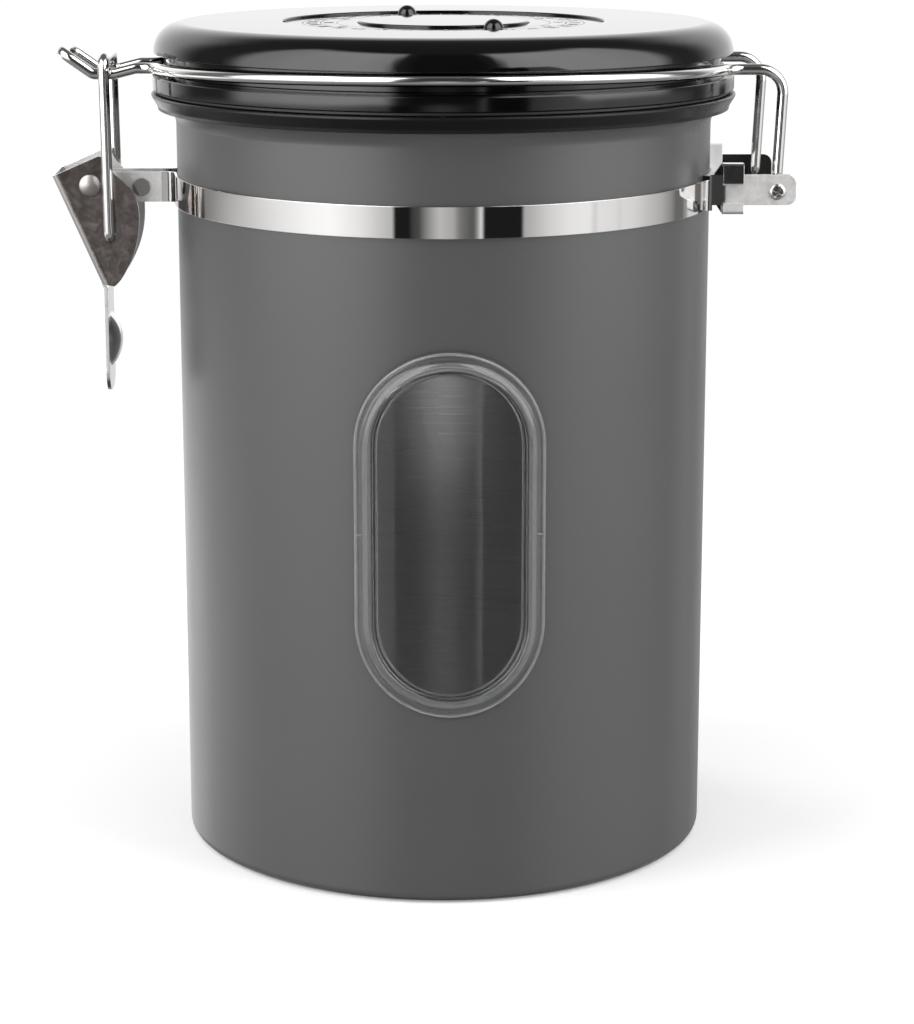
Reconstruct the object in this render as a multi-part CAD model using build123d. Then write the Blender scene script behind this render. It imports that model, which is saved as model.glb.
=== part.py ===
from build123d import *
import math
import os

# ---------------------------------------------------------------------------
# Coffee canister with a one-way valve lid, a wire-bail latch and a date dial.
# Millimetres.  Origin: centre of the flat base.  +Z up.  The window faces -Y,
# the latch is at -X, the lid hinge is at +X.
# ---------------------------------------------------------------------------

# canister body
R_BODY = 59.0          # outer radius of the wall
T_WALL = 0.7           # wall thickness
T_BASE = 0.8           # base thickness
Z_FLARE = 161.7        # start of the flared mouth
R_FLARE = 3.0          # outer radius of the flare

# window
Z_WIN = 80.85          # centre height
WIN_OUT = (40.3, 77.9)     # flange, arc width by height
WIN_IN = (32.7, 70.5)      # inner opening of the raised rim
WALL_CUT = (34.2, 72.0)    # opening in the wall

# clamp band
BAND_Z0, BAND_Z1 = 144.2, 150.8
BAND_R0, BAND_R1 = 59.12, 59.72
BAND_TILT = 0.9                    # degrees, each half drops towards front or back
HEAR_RISE = 1.2                    # the hinge ears are stepped up from the strip
EAR_Y0, EAR_Y1 = 2.9, 3.5          # latch ears
HEAR_Y0, HEAR_Y1 = 19.9, 20.5      # hinge ears
HEAR_X = 75.9                      # tip of the hinge ears

# latch
PX, PZ = -77.6, 148.3      # lever pivot
QX, QZ = -73.5, 136.75     # bail pivot in the lever
HX, HZ = -73.9, 176.0     # bail cross bar
R_WIRE = 1.2               # lid wire and bail wire
CHEEK_Y0, CHEEK_Y1 = 7.7, 8.5
BAIL_Y = 10.6
LOOP_Y = 7.6
LOOP_Z = 172.5
RIVET = (-66.9, 147.4)     # rivet that joins the two latch ears

# hinge
KX, KZ = 71.8, 148.0       # lid hinge axis
LEG_Y = 18.2
LEG_LEAN = 1.2             # the legs lean outwards from the axis to the ring

# lid
R_LID = 63.75
R_FLANGE = 64.25
Z_FL0, Z_FL1 = 169.1, 172.4
Z_TOP = 183.5
R_SH = 6.3                 # shoulder radius of the lid
R_DIAL0, R_DIAL1 = 18.8, 35.3
Z_DIAL = 183.0             # floor of the dial recess
R_RING = 63.1              # centre radius of the wire ring
TILT = 1.75                # degrees, each half of the ring rises to front or back
Z_RING = 173.5             # height of the ring plane on the hinge axis plane

os.makedirs("parts", exist_ok=True)


def rev(pts):
    """Revolve a closed (r, z) polygon about Z."""
    with BuildPart() as p:
        with BuildSketch(Plane.XZ) as s:
            with BuildLine() as l:
                Polyline(*pts, close=True)
            make_face()
        revolve(axis=Axis.Z)
    return p.part


def tube(r0, r1, z0, z1):
    s = Cylinder(r1, z1 - z0, align=(Align.CENTER, Align.CENTER, Align.MIN))
    if r0 > 0:
        s = s - Cylinder(r0, z1 - z0, align=(Align.CENTER, Align.CENTER, Align.MIN))
    return Pos(0, 0, z0) * s


def box(x0, x1, y0, y1, z0, z1):
    return Pos((x0 + x1) / 2, (y0 + y1) / 2, (z0 + z1) / 2) * Box(x1 - x0, y1 - y0, z1 - z0)


def ycyl(x, z, r, y0, y1):
    """Cylinder along Y."""
    c = Cylinder(r, y1 - y0)
    return Pos(x, (y0 + y1) / 2, z) * (Rot(90, 0, 0) * c)


def prism_xz(pts, y0, y1):
    """Polygon in X, Z extruded along Y."""
    f = make_face(Polyline(*[(x, y0, z) for x, z in pts], close=True).edges())
    return extrude(f, amount=y1 - y0, dir=(0, 1, 0))


def stadium(arc_w, h, y0=-70.0, y1=-45.0):
    """Upright stadium prism through the front wall; width given along the arc."""
    w = 2 * R_BODY * math.sin(arc_w / 2 / R_BODY)
    r = w / 2
    s = box(-r, r, y0, y1, Z_WIN - h / 2 + r, Z_WIN + h / 2 - r)
    s = s + ycyl(0, Z_WIN - h / 2 + r, r, y0, y1) + ycyl(0, Z_WIN + h / 2 - r, r, y0, y1)
    return s


def shell(r0, r1):
    return tube(r0, r1, 20, 140)


def save(shape, name):
    shape.label = name
    export_step(shape, "parts/%s.step" % name)


# ---------------------------------------------------------------- can body
n = 14
arc_out = [(R_BODY + R_FLARE - R_FLARE * math.cos(math.radians(a)), Z_FLARE + R_FLARE * math.sin(math.radians(a)))
           for a in (0, 90)]
with BuildPart() as body:
    with BuildSketch(Plane.XZ):
        with BuildLine():
            ro = R_BODY
            ri = R_BODY - T_WALL
            rc = 2.0
            c45 = math.sqrt(0.5)
            l1 = Line((0, 0), (ro - rc, 0))
            a1 = ThreePointArc((ro - rc, 0), (ro - rc + rc * c45, rc - rc * c45), (ro, rc))
            l2 = Line((ro, rc), (ro, Z_FLARE))
            fo = R_FLARE
            a2 = ThreePointArc((ro, Z_FLARE), (ro + fo - fo * c45, Z_FLARE + fo * c45), (ro + fo, Z_FLARE + fo))
            # hem at the edge of the mouth
            hz = Z_FLARE + fo
            a3 = ThreePointArc((ro + fo, hz), (ro + fo + T_WALL / 2, hz + T_WALL / 2), (ro + fo, hz + T_WALL))
            fi = fo + T_WALL
            a4 = ThreePointArc((ro + fo, hz + T_WALL), (ro + fo - fi * c45, Z_FLARE + fi * c45), (ri, Z_FLARE))
            l3 = Line((ri, Z_FLARE), (ri, T_BASE + 1.3))
            rb = 1.3
            a5 = ThreePointArc((ri, T_BASE + rb), (ri - rb + rb * c45, T_BASE + rb - rb * c45), (ri - rb, T_BASE))
            l4 = Line((ri - rb, T_BASE), (0, T_BASE))
            l5 = Line((0, T_BASE), (0, 0))
        make_face()
    revolve(axis=Axis.Z)
can_body = body.part - stadium(*WALL_CUT)
save(can_body, "can_body")

# ---------------------------------------------------------------- window
seal = (shell(59.03, 59.4) & stadium(WIN_OUT[0] + 0.6, WIN_OUT[1] + 0.6)) - stadium(WALL_CUT[0] + 0.2, WALL_CUT[1] + 0.2)
save(seal, "window_seal")

flange = shell(59.42, 60.25) & stadium(*WIN_OUT)
rim = (shell(60.0, 60.8) & stadium(WIN_IN[0] + 1.8, WIN_IN[1] + 1.8))
plug = shell(57.0, 59.6) & stadium(33.8, 71.6)
pane = flange + rim + plug
pane = pane - (shell(59.7, 62) & stadium(*WIN_IN))
pane = pane - (shell(55, 58.6) & stadium(30.6, 68.4))
save(pane, "window_pane")

retainer = (shell(57.15, 58.22) & stadium(38.6, 76.4)) - stadium(34.1, 71.9)
save(retainer, "window_retainer")

# ---------------------------------------------------------------- collar on the mouth
collar = rev([(58.0, 168.3), (64.0, 168.3), (64.3, 168.05), (64.3, 167.7), (63.05, 165.6), (62.9, 164.85), (62.55, 164.85),
              (62.5, 165.52), (61.6, 165.48), (60.3, 165.13), (59.3, 164.43), (58.5, 163.33), (58.0, 162.1)])
save(collar, "rim_collar")


# ---------------------------------------------------------------- clamp band halves
def band_half(sgn):
    """Half band for sgn*Y > 0, with a latch ear at -X and a hinge ear at +X."""
    ro, ri = 1.5, 2.1          # bend radii, outside and inside face
    rc = BAND_R1 + ro
    cl = (-math.sqrt(rc ** 2 - (EAR_Y1 + ro) ** 2), -(EAR_Y1 + ro))
    ch = (math.sqrt(rc ** 2 - (HEAR_Y1 + ro) ** 2), -(HEAR_Y1 + ro))
    x_tip = PX - 3.6

    def on(c, r):
        return (c[0] * r / rc, c[1] * r / rc)

    def mid(c, r, p, q):
        d = ((p[0] + q[0]) / 2 - c[0], (p[1] + q[1]) / 2 - c[1])
        k = r / math.hypot(*d)
        return (c[0] + d[0] * k, c[1] + d[1] * k)
    li, lo = (cl[0], -EAR_Y0), (cl[0], -EAR_Y1)
    hi, ho = (ch[0], -HEAR_Y0), (ch[0], -HEAR_Y1)
    with BuildPart() as bp:
        with BuildSketch(Plane.XY.offset(BAND_Z0)):
            with BuildLine():
                Line((x_tip, -EAR_Y0), li)
                ThreePointArc(li, mid(cl, ri, li, on(cl, BAND_R0)), on(cl, BAND_R0))
                ThreePointArc(on(cl, BAND_R0), (0, -BAND_R0), on(ch, BAND_R0))
                ThreePointArc(on(ch, BAND_R0), mid(ch, ri, hi, on(ch, BAND_R0)), hi)
                Polyline(hi, (ch[0] + 0.6, -HEAR_Y0), (ch[0] + 0.6, -HEAR_Y1), ho)
                ThreePointArc(ho, mid(ch, ro, ho, on(ch, BAND_R1)), on(ch, BAND_R1))
                ThreePointArc(on(ch, BAND_R1), (0, -BAND_R1), on(cl, BAND_R1))
                ThreePointArc(on(cl, BAND_R1), mid(cl, ro, lo, on(cl, BAND_R1)), lo)
                Polyline(lo, (x_tip, -EAR_Y1), (x_tip, -EAR_Y0))
            make_face()
        extrude(amount=BAND_Z1 - BAND_Z0)
    b = bp.part
    # rounded ear tips
    zc = (BAND_Z0 + BAND_Z1) / 2
    h = (BAND_Z1 - BAND_Z0) / 2
    tip = box(x_tip - 1, x_tip + h, -12, 0, BAND_Z0 - 1, BAND_Z1 + 1) - ycyl(x_tip + h, zc, h, -13, 1)
    b = b - tip
    ear = box(ch[0], HEAR_X, -HEAR_Y1, -HEAR_Y0, BAND_Z0 + HEAR_RISE, BAND_Z1 + HEAR_RISE)
    ear = fillet([e for e in ear.edges() if abs(e.center().X - HEAR_X) < 0.01 and e.length < 1.0], 2.0)
    b = b + ear
    b = Pos(0, 0, zc) * (Rot(BAND_TILT, 0, 0) * (Pos(0, 0, -zc) * b))
    b = b - ycyl(PX, PZ, 1.52, -6, 0) - ycyl(RIVET[0], RIVET[1], 1.42, -6, 0) - ycyl(KX, KZ, R_WIRE + 0.05, -24, -16)
    if sgn > 0:
        b = mirror(b, about=Plane.XZ)
    return b


save(band_half(-1), "band_front")
save(band_half(1), "band_rear")

rv = ycyl(RIVET[0], RIVET[1], 1.4, -3.9, 3.9) + ycyl(RIVET[0], RIVET[1], 1.95, -4.0, -3.6) + ycyl(RIVET[0], RIVET[1], 1.95, 3.6, 4.0)
rv = rv + ycyl(RIVET[0], RIVET[1], 2.2, -2.8, 2.8)
save(rv, "band_rivet")

# ---------------------------------------------------------------- hinge saddle
ZS0, ZS1 = 143.2, 154.1
STRAP_Z0, STRAP_Z1 = 145.0, 151.3      # the strap between the arms is lower than the folded wings
strap = (tube(59.1, 59.9, STRAP_Z0, STRAP_Z1) & box(40, 62, -18.9, 18.9, ZS0, ZS1))


def arm():
    xi = math.sqrt(59.1 ** 2 - 18.7 ** 2)
    a = prism_xz([(xi, STRAP_Z0), (58.7, STRAP_Z0), (59.9, ZS0), (64.4, ZS0), (64.4, ZS1), (59.9, ZS1),
                  (57.9, STRAP_Z1), (xi, STRAP_Z1)], -19.5, -18.7)
    a = a + box(59.9, 64.4, -21.7, -18.7, ZS1 - 0.8, ZS1) + box(59.9, 64.4, -21.7, -18.7, ZS0, ZS0 + 0.8)
    a = a + box(59.9, 64.4, -21.7, -20.9, ZS1 - 4.6, ZS1) + box(59.9, 64.4, -21.7, -20.9, ZS0, ZS0 + 2.4)
    return a


arm_n = arm()
arm_f = mirror(arm_n, about=Plane.XZ)
saddle = strap + arm_n + arm_f
es = [e for e in saddle.edges() if abs(abs(e.center().Y) - 21.7) < 0.01 and e.length > 4.4 and e.length < 4.6
      and (abs(e.center().Z - ZS0) < 0.01 or abs(e.center().Z - ZS1) < 0.01)]
saddle = fillet(es, 0.7)
save(saddle, "hinge_saddle")

# ---------------------------------------------------------------- lid wire
t = math.radians(TILT)


def on_ring(x, y):
    """Point of the ring: the front and rear halves both rise away from the hinge plane."""
    return Vector(x, y * math.cos(t), Z_RING + abs(y) * math.sin(t))


def lift(y):
    return on_ring(0, y).Y, on_ring(0, y).Z


def wire_half(s):
    """Edges of one half of the lid wire for s*Y > 0, from the hinge end to the loop end."""
    # leaving the ring towards the hinge
    r1 = 5.0
    yl = LEG_Y
    c1 = (math.sqrt((R_RING + r1) ** 2 - (yl + r1) ** 2), yl + r1)
    k1 = R_RING / (R_RING + r1)
    p_ring1 = (c1[0] * k1, c1[1] * k1)
    p_leg1 = (c1[0], yl)
    am = math.atan2(-(c1[1]) + yl + r1 - r1, 0)
    a_a = math.atan2(p_ring1[1] - c1[1], p_ring1[0] - c1[0])
    a_b = math.atan2(p_leg1[1] - c1[1], p_leg1[0] - c1[0])
    m1 = (c1[0] + r1 * math.cos((a_a + a_b) / 2), c1[1] + r1 * math.sin((a_a + a_b) / 2))
    # leaving the ring towards the latch
    r2 = 4.0
    yt = LOOP_Y
    c2 = (-math.sqrt((R_RING + r2) ** 2 - (yt + r2) ** 2), yt + r2)
    k2 = R_RING / (R_RING + r2)
    p_ring2 = (c2[0] * k2, c2[1] * k2)
    p_leg2 = (c2[0], yt)
    b_a = math.atan2(p_ring2[1] - c2[1], p_ring2[0] - c2[0])
    b_b = math.atan2(p_leg2[1] - c2[1], p_leg2[0] - c2[0])
    if b_a < 0:
        b_a += 2 * math.pi
    if b_b < 0:
        b_b += 2 * math.pi
    m2 = (c2[0] + r2 * math.cos((b_a + b_b) / 2), c2[1] + r2 * math.sin((b_a + b_b) / 2))
    g_a = math.atan2(p_ring1[1], p_ring1[0])
    g_b = math.atan2(p_ring2[1], p_ring2[0])
    gm = (g_a + g_b) / 2
    mid = (R_RING * math.cos(gm), R_RING * math.sin(gm))

    def v(p):
        return on_ring(p[0], s * p[1])
    leg1 = v(p_leg1)
    yl3, zl3 = leg1.Y, leg1.Z
    hinge = FilletPolyline((KX, s * 20.95, KZ), (KX, yl3, KZ), (KX + LEG_LEAN, yl3, zl3), leg1, radius=[1.45, 5.0])
    e1 = ThreePointArc(leg1, v(m1), v(p_ring1))
    e2 = ThreePointArc(v(p_ring1), v(mid), v(p_ring2))
    e3 = ThreePointArc(v(p_ring2), v(m2), v(p_leg2))
    return hinge, e1, e2, e3, v(p_leg2)


hf, f1, f2, f3, pf = wire_half(-1)
hr, q1, q2, q3, pr = wire_half(1)
lip_a = math.radians(35)
xc = HX - 2.5
tipx = xc - 8.3 * math.cos(lip_a)
tipz = LOOP_Z + 8.3 * math.sin(lip_a)
hook = FilletPolyline(pf, (pf.X - 1.1, pf.Y, pf.Z), (pf.X - 6.0, pf.Y, LOOP_Z), (xc, pf.Y, LOOP_Z),
                      (tipx, pf.Y, tipz), (tipx, pr.Y, tipz), (xc, pr.Y, LOOP_Z),
                      (pr.X - 6.0, pr.Y, LOOP_Z), (pr.X - 1.1, pr.Y, pr.Z), pr,
                      radius=[2.5, 2.5, 2.2, 2.6, 2.6, 2.2, 2.5, 2.5])
wire_edges = list(hf.edges()) + [f1.edges()[0], f2.edges()[0], f3.edges()[0]] + list(hook.edges())
wire_edges += [q3.edges()[0], q2.edges()[0], q1.edges()[0]] + list(hr.edges())
path = Wire(wire_edges)
start = Vector(KX, -20.95, KZ)
prof = Plane(origin=start, z_dir=(0, 1, 0)) * Circle(R_WIRE)
lid_wire = sweep(prof, path=path)
print("lid wire length", round(path.length, 2), "volume", round(lid_wire.volume, 2),
      "expected", round(path.length * math.pi * R_WIRE ** 2, 2))
save(lid_wire, "lid_wire")

# ---------------------------------------------------------------- latch lever
TAB_X = -75.4              # outer face of the finger tab
TAB_W = 7.0                # half width of the finger tab
TAB_Z0, TAB_Z1 = 101.7, 121.6
FOLD_TOP = (-86.3, 150.2)  # upper end of the web's outer face
FOLD_END = (TAB_X, 125.1)  # where the web turns down into the tab
CHEEK_END = (TAB_X - 0.63, 126.55)  # lower end of the cheeks, on the web's outer face
FOLD_R = 1.9               # outer bend radius between web and cheeks
T_LEVER = 0.8


def side_outline(y0, y1):
    """Everything that the cheeks may fill, seen from the side."""
    def p(x, z):
        return (x, y0, z)
    es = [Line(p(*CHEEK_END), p(*FOLD_TOP)), Line(p(*FOLD_TOP), p(-75.8, 154.72)),
          ThreePointArc(p(-75.8, 154.72), p(-74.85, 154.5), p(-74.15, 153.75)),
          ThreePointArc(p(-74.15, 153.75), p(-72.6, 151.3), p(-70.7, 149.4)),
          ThreePointArc(p(-70.7, 149.4), p(-68.0, 146.0), p(-67.15, 141.8)),
          ThreePointArc(p(-67.15, 141.8), p(-67.9, 135.2), p(-70.5, 129.0)),
          ThreePointArc(p(-70.5, 129.0), p(-71.6, 127.3), p(-72.9, 126.0)),
          Line(p(-72.9, 126.0), p(*CHEEK_END))]
    f = make_face([e.edges()[0] for e in es])
    return extrude(f, amount=y1 - y0, dir=(0, 1, 0))


def fold_channel():
    """U channel of the folded sheet, along the web, rounded at both bends."""
    dx, dz = FOLD_END[0] - FOLD_TOP[0], FOLD_END[1] - FOLD_TOP[1]
    ln = math.hypot(dx, dz)
    pl = Plane(origin=(FOLD_TOP[0] - dx / ln, 0, FOLD_TOP[1] - dz / ln), x_dir=(0, 1, 0), z_dir=(dx / ln, 0, dz / ln))
    sg = 1 if pl.y_dir.X > 0 else -1
    depth = 26.0

    def u(half, n0, r):
        """Upright rectangle from n0 to the open side, rounded at the web."""
        c = r - r * math.sqrt(0.5)
        with BuildSketch(pl) as s:
            with BuildLine():
                Polyline((-half + r, sg * n0), (half - r, sg * n0))
                ThreePointArc((half - r, sg * n0), (half - c, sg * (n0 + c)), (half, sg * (n0 + r)))
                Polyline((half, sg * (n0 + r)), (half, sg * depth), (-half, sg * depth), (-half, sg * (n0 + r)))
                ThreePointArc((-half, sg * (n0 + r)), (-half + c, sg * (n0 + c)), (-half + r, sg * n0))
            make_face()
        return extrude(s.sketch, amount=ln + 8)
    return u(CHEEK_Y1, 0.0, FOLD_R) - u(CHEEK_Y0, T_LEVER, FOLD_R - T_LEVER)


web = [FOLD_TOP, FOLD_END, (TAB_X, TAB_Z1), (TAB_X + 0.8, TAB_Z1), (TAB_X + 0.8, 125.26), (-85.57, 150.52)]
flat = CHEEK_Y1 - FOLD_R
lever = prism_xz(web, -flat, flat) + (fold_channel() & side_outline(-9, 9))
lever = lever + box(TAB_X, TAB_X + 0.8, -TAB_W - 0.3, TAB_W + 0.3, TAB_Z1, FOLD_END[1])
tab = box(TAB_X, TAB_X + 0.8, -TAB_W, TAB_W, TAB_Z0, TAB_Z1 + 1.0)
et = [e for e in tab.edges() if abs(e.center().Z - TAB_Z0) < 0.02 and e.length < 1.0]
tab = fillet(et, 5.0)
lever = lever + tab
# thumb dish pressed towards the can
d_a, d_d = 6.2, 2.5
rs = (d_a ** 2 + d_d ** 2) / (2 * d_d)
cx = TAB_X + 0.8 + d_d - rs
dz = 112.9


def dish(r, x0, r_edge):
    """Solid of revolution about the X axis line: from x0 to the sphere of radius r about cx."""
    xe = cx + math.sqrt(r * r - r_edge * r_edge)
    am = math.atan2(r_edge, xe - cx) / 2
    with BuildPart() as dp:
        with BuildSketch(Plane.XY):
            with BuildLine():
                Polyline((cx + r, 0), (x0, 0), (x0, r_edge), (xe, r_edge))
                ThreePointArc((xe, r_edge), (cx + r * math.cos(am), r * math.sin(am)), (cx + r, 0))
            make_face()
        revolve(axis=Axis.X)
    return Pos(0, 0, dz) * dp.part


lever = lever + dish(rs, TAB_X + 0.3, 6.35)
lever = lever - dish(rs - 0.8, TAB_X - 1.5, 5.7)
lever = lever - ycyl(PX, PZ, 1.55, -10, 10) - ycyl(QX, QZ, R_WIRE + 0.05, -10, 10)
save(lever, "latch_lever")

dome_c = 0.75
rd = (2.5 ** 2 + dome_c ** 2) / (2 * dome_c)


def dome(sgn):
    s = Pos(PX, sgn * (8.56 + dome_c - rd), PZ) * Sphere(rd)
    return s & box(PX - 4, PX + 4, min(sgn * 8.56, sgn * 10), max(sgn * 8.56, sgn * 10), PZ - 4, PZ + 4)


lr = ycyl(PX, PZ, 1.5, -8.7, 8.7) + dome(-1) + dome(1)
save(lr, "lever_rivet")
bush = ycyl(PX, PZ, 2.6, -7.62, -3.62) - ycyl(PX, PZ, 1.53, -8, -3)
bush2 = mirror(bush, about=Plane.XZ)
save(Compound(children=[bush, bush2]), "lever_bushes")

# ---------------------------------------------------------------- latch bail
bail_path = FilletPolyline((QX, -6.9, QZ), (QX, -BAIL_Y, QZ), (HX, -BAIL_Y, HZ), (HX, BAIL_Y, HZ), (QX, BAIL_Y, QZ),
                           (QX, 6.9, QZ), radius=[1.8, 2.6, 2.6, 1.8])
bprof = Plane(origin=(QX, -6.9, QZ), z_dir=(0, -1, 0)) * Circle(R_WIRE)
bail = sweep(bprof, path=bail_path)
print("bail volume", round(bail.volume, 2), "expected", round(bail_path.length * math.pi * R_WIRE ** 2, 2))
save(bail, "latch_bail")

# ---------------------------------------------------------------- lid base
base = rev([(10.0, 169.1), (58.9, 169.1), (58.9, 169.5), (63.3, 169.5), (63.3, 169.15), (63.75, 169.1), (64.0, 169.35),
            (64.0, 172.15), (63.75, 172.4), (61.4, 172.4), (61.4, 172.85), (61.8, 173.05), (61.8, 174.1), (61.3, 174.3),
            (61.3, 178.5), (59.5, 178.5), (59.5, 171.1), (10.0, 171.1)])
base = base + tube(49.5, 51.0, 165.1, 169.2)
N_SCREW = 6
R_SCREW = 44.0
screw_xy = [(R_SCREW * math.cos(math.radians(30 + 60 * i)), R_SCREW * math.sin(math.radians(30 + 60 * i)))
            for i in range(N_SCREW)]
for x, y in screw_xy:
    base = base - Pos(x, y, 170.1) * Cylinder(1.5, 3)
save(base, "lid_base")

gasket = rev([(59.1, 168.45), (59.4, 168.35), (62.9, 168.35), (63.2, 168.55), (63.2, 169.48), (59.0, 169.48)])
save(gasket, "lid_gasket")

screws = []
for x, y in screw_xy:
    s = Pos(x, y, 172.6) * Cylinder(1.25, 7.2) + Pos(x, y, 168.25) * Cylinder(2.6, 1.66)
    s = s - Pos(x, y, 167.6) * Box(3.4, 0.6, 0.8) - Pos(x, y, 167.6) * Box(0.6, 3.4, 0.8)
    screws.append(s)
save(Compound(children=screws), "lid_screws")

# ---------------------------------------------------------------- lid cover
with BuildPart() as cov:
    with BuildSketch(Plane.XZ):
        with BuildLine():
            c45 = math.sqrt(0.5)
            xc0 = R_LID - R_SH
            zc0 = Z_TOP - R_SH
            ri = R_SH - 1.6
            Polyline((R_DIAL1, 181.9), (R_DIAL1, Z_TOP - 0.2), (R_DIAL1 + 0.2, Z_TOP), (xc0, Z_TOP))
            ThreePointArc((xc0, Z_TOP), (xc0 + R_SH * c45, zc0 + R_SH * c45), (R_LID, zc0))
            Polyline((R_LID, zc0), (R_LID, 177.15), (R_LID - 0.25, 176.95), (61.5, 176.95), (61.5, 178.7),
                     (xc0 + ri * math.cos(math.radians(22)), zc0 + ri * math.sin(math.radians(22))))
            ThreePointArc((xc0 + ri * math.cos(math.radians(22)), zc0 + ri * math.sin(math.radians(22))),
                          (xc0 + ri * math.cos(math.radians(56)), zc0 + ri * math.sin(math.radians(56))),
                          (xc0, zc0 + ri))
            Polyline((xc0, zc0 + ri), (36.9, 181.9), (36.9, 180.4), (17.3, 180.4), (17.3, 181.9), (R_DIAL1, 181.9))
        make_face()
    revolve(axis=Axis.Z)
cover = cov.part
for x, y in screw_xy:
    cover = cover + Pos(x, y, (171.15 + 182.2) / 2) * Cylinder(3.0, 182.2 - 171.15)
for x, y in screw_xy:
    cover = cover - Pos(x, y, 174.0) * Cylinder(1.3, 6.0)
save(cover, "lid_cover")

# ---------------------------------------------------------------- valve
cap_v = rev([(0, 182.0), (15.6, 182.0), (15.6, 178.6), (17.1, 178.6), (17.1, 181.95), (18.7, 181.95), (18.7, 183.3),
             (18.5, 183.5), (0, 183.5)])
for i in range(6):
    cap_v = cap_v - Rot(0, 0, 60 * i + 30) * box(16.0, 19.5, -1.5, 1.5, 181.8, 182.35)
save(cap_v, "valve_cap")

seat = tube(1.35, 13.8, 171.15, 173.0)
for i in range(6):
    a = math.radians(60 * i)
    seat = seat - Pos(5.2 * math.cos(a), 5.2 * math.sin(a), 172) * Cylinder(1.1, 4)
save(seat, "valve_seat")

vdisc = rev([(0, 173.05), (8.4, 173.05), (8.6, 173.2), (8.6, 173.35), (3.0, 174.6), (0, 174.9)])
vdisc = vdisc + Pos(0, 0, 171.7) * Cylinder(1.15, 3.0) + Pos(0, 0, 169.75) * Cylinder(1.75, 0.9)
save(vdisc, "valve_disc")

cage = rev([(0, 166.2), (12.6, 166.2), (13.0, 166.6), (13.0, 169.08), (11.6, 169.08), (11.6, 167.2), (0, 167.2)])
for x in (-8.0, -4.8, -1.6, 1.6, 4.8, 8.0):
    ln = 2 * math.sqrt(max(10.2 ** 2 - x * x, 4))
    cage = cage - Pos(x, 0, 166.7) * Box(1.5, ln, 2)
save(cage, "valve_cage")
save(tube(0, 11.4, 167.25, 168.5), "valve_filter")

# ---------------------------------------------------------------- date dial
day_ring = tube(27.1, 35.2, 181.93, 182.4) + tube(27.1, 30.9, 182.3, Z_DIAL)
save(day_ring, "day_ring")
month_ring = tube(18.95, 26.95, 181.93, 182.4) + tube(23.5, 26.95, 182.3, Z_DIAL)
save(month_ring, "month_ring")


def knob(r, az):
    a = math.radians(az)
    s = (Pos(0, 0, Z_DIAL - 0.25) * Sphere(2.2)) & Pos(0, 0, Z_DIAL - 0.1 + 2.5) * Cylinder(3, 5)
    return Pos(r * math.cos(a), r * math.sin(a), 0) * s


R_DAY, A_DAY = 33.0, 103.5
R_MON, A_MON = 21.3, -61.0
save(tube(31.0, 35.1, 182.45, Z_DIAL) + knob(R_DAY, A_DAY), "day_slider")
save(tube(18.95, 23.4, 182.45, Z_DIAL) + knob(R_MON, A_MON), "month_slider")
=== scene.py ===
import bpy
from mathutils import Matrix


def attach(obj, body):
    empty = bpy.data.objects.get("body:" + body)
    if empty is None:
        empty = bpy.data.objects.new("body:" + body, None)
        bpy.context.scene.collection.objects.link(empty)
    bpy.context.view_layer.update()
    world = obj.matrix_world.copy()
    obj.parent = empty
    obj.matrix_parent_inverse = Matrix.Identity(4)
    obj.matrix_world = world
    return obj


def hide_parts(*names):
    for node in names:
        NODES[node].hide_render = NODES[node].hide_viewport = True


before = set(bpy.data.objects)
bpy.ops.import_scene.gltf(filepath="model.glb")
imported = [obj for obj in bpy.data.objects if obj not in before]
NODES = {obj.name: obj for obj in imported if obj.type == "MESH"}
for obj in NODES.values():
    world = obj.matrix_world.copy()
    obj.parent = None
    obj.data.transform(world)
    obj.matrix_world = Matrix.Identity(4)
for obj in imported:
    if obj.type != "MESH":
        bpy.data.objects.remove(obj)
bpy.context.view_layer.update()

import math

import bmesh
import bpy
from mathutils import Matrix, Vector

scene = bpy.context.scene

# metres, model frame: origin at the centre of the base, window towards -Y,
# latch at -X, hinge at +X
R_BODY = 0.059
Z_WIN = 0.08085
WIN_IN_W, WIN_IN_H = 0.0327, 0.0705
WIN_OUT_W, WIN_OUT_H = 0.0403, 0.0779
PI = math.pi


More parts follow.
